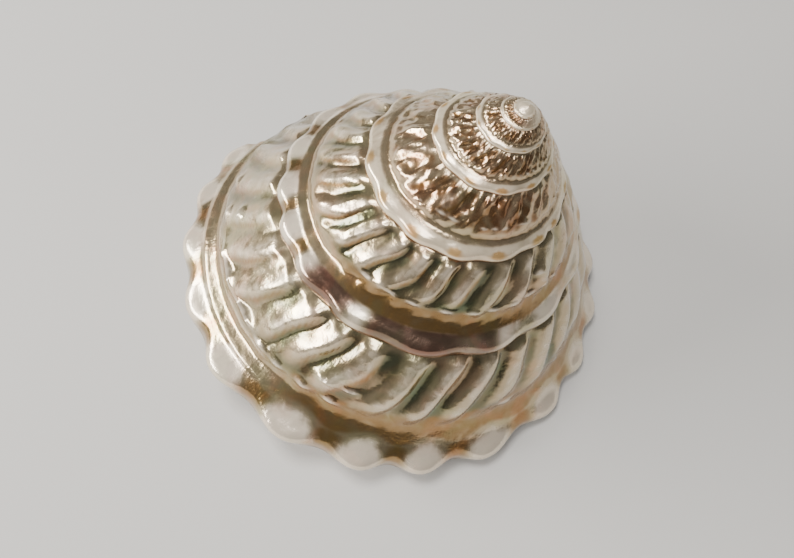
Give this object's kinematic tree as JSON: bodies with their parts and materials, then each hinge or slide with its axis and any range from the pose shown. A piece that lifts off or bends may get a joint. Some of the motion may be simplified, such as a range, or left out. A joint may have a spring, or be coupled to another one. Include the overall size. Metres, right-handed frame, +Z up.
{
  "type": "turban shell",
  "caption": "Pearly turban snail shell: a right-hand coiled cone with a knobbed keel, oblique folds and an open mouth beneath.",
  "frame": {"origin": "centre of the overall box at ground level, with the shell lying on its base as it rests", "axes": "+Z up; +X along the longest width, toward the mouth's opening and the side the spire leans to; +Y from the pictured side toward the mouth"},
  "size_m": [0.0906, 0.0814, 0.0635],
  "materials": {
    "nacre": "polished pearly"
  },
  "bodies": {
    "root": {"shell": "nacre"}
  },
  "joints": []
}
